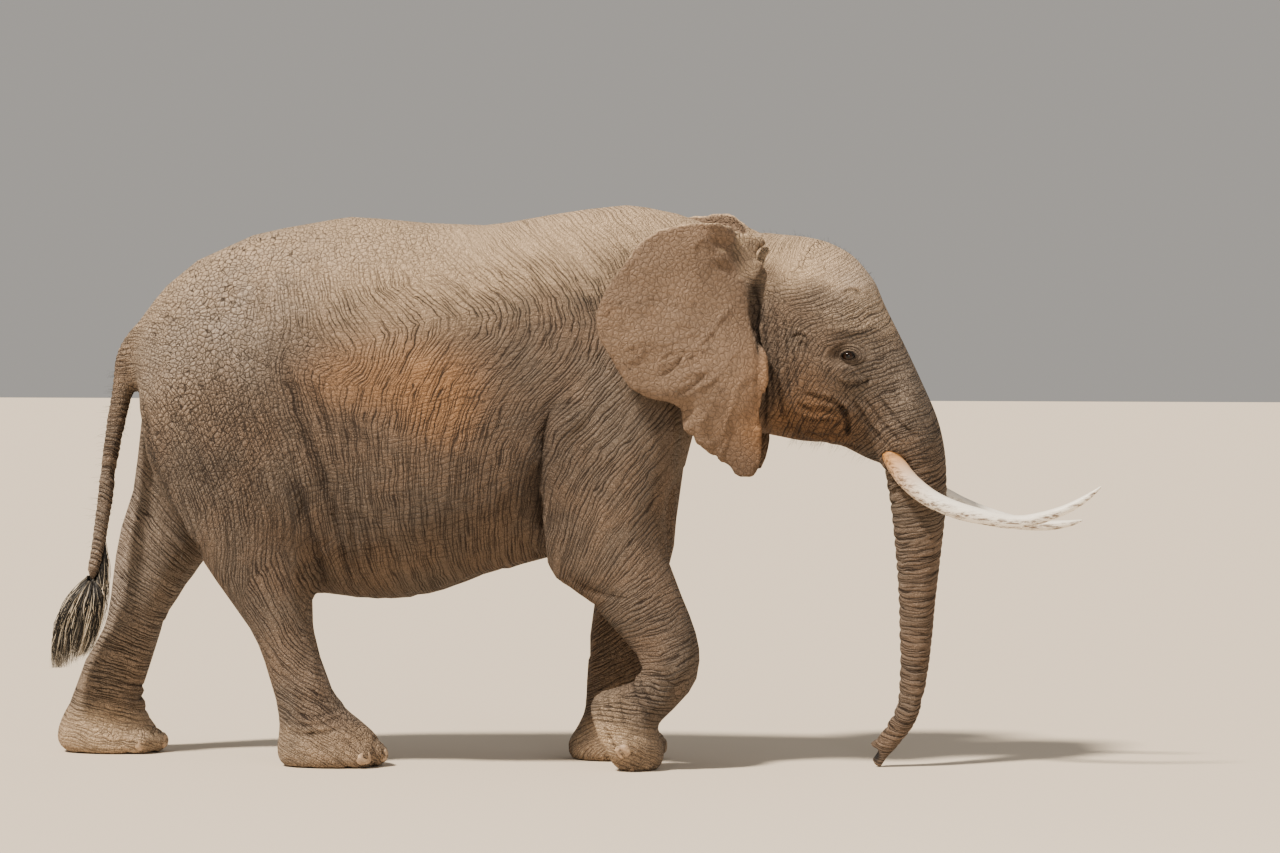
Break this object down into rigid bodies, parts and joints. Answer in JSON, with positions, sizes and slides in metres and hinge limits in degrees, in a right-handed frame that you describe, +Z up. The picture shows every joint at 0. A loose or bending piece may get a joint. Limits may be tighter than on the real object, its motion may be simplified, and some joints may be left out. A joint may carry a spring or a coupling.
{
  "type": "elephant",
  "caption": "Adult African savanna elephant cow, walking with its head low, trunk tip on the floor and one foreleg folded, as a still life-size model.",
  "frame": {"origin": "on the floor, under the middle of the model's box", "axes": "+X towards the head, +Y to the animal's left, +Z up"},
  "size_m": [4.8032, 1.2534, 2.5054],
  "materials": {
    "hide": "dry, wrinkled, dusty",
    "ivory": "satin, stained near the root",
    "nail": "matte, worn",
    "eye": "wet gloss",
    "hair": "coarse, straight"
  },
  "bodies": {
    "root": {"barrel": "hide", "ear_left": "hide", "ear_right": "hide", "eye_left": "eye", "eye_right": "eye", "foreleg_left_foot": "hide", "foreleg_left_lower": "hide", "foreleg_left_nail_1": "nail", "foreleg_left_nail_2": "nail", "foreleg_left_nail_3": "nail", "foreleg_left_nail_4": "nail", "foreleg_left_upper": "hide", "foreleg_right_foot": "hide", "foreleg_right_lower": "hide", "foreleg_right_nail_1": "nail", "foreleg_right_nail_2": "nail", "foreleg_right_nail_3": "nail", "foreleg_right_nail_4": "nail", "foreleg_right_upper": "hide", "head": "hide", "hindleg_left_foot": "hide", "hindleg_left_lower": "hide", "hindleg_left_nail_1": "nail", "hindleg_left_nail_2": "nail", "hindleg_left_nail_3": "nail", "hindleg_left_upper": "hide", "hindleg_right_foot": "hide", "hindleg_right_lower": "hide", "hindleg_right_nail_1": "nail", "hindleg_right_nail_2": "nail", "hindleg_right_nail_3": "nail", "hindleg_right_upper": "hide", "neck": "hide", "rump": "hide", "shoulders": "hide", "tail_lower": "hide", "tail_tuft": "hair", "tail_upper": "hide", "trunk_end": "hide", "trunk_lower": "hide", "trunk_middle": "hide", "trunk_tip": "hide", "trunk_upper": "hide", "tusk_left": "ivory", "tusk_right": "ivory"}
  },
  "joints": []
}
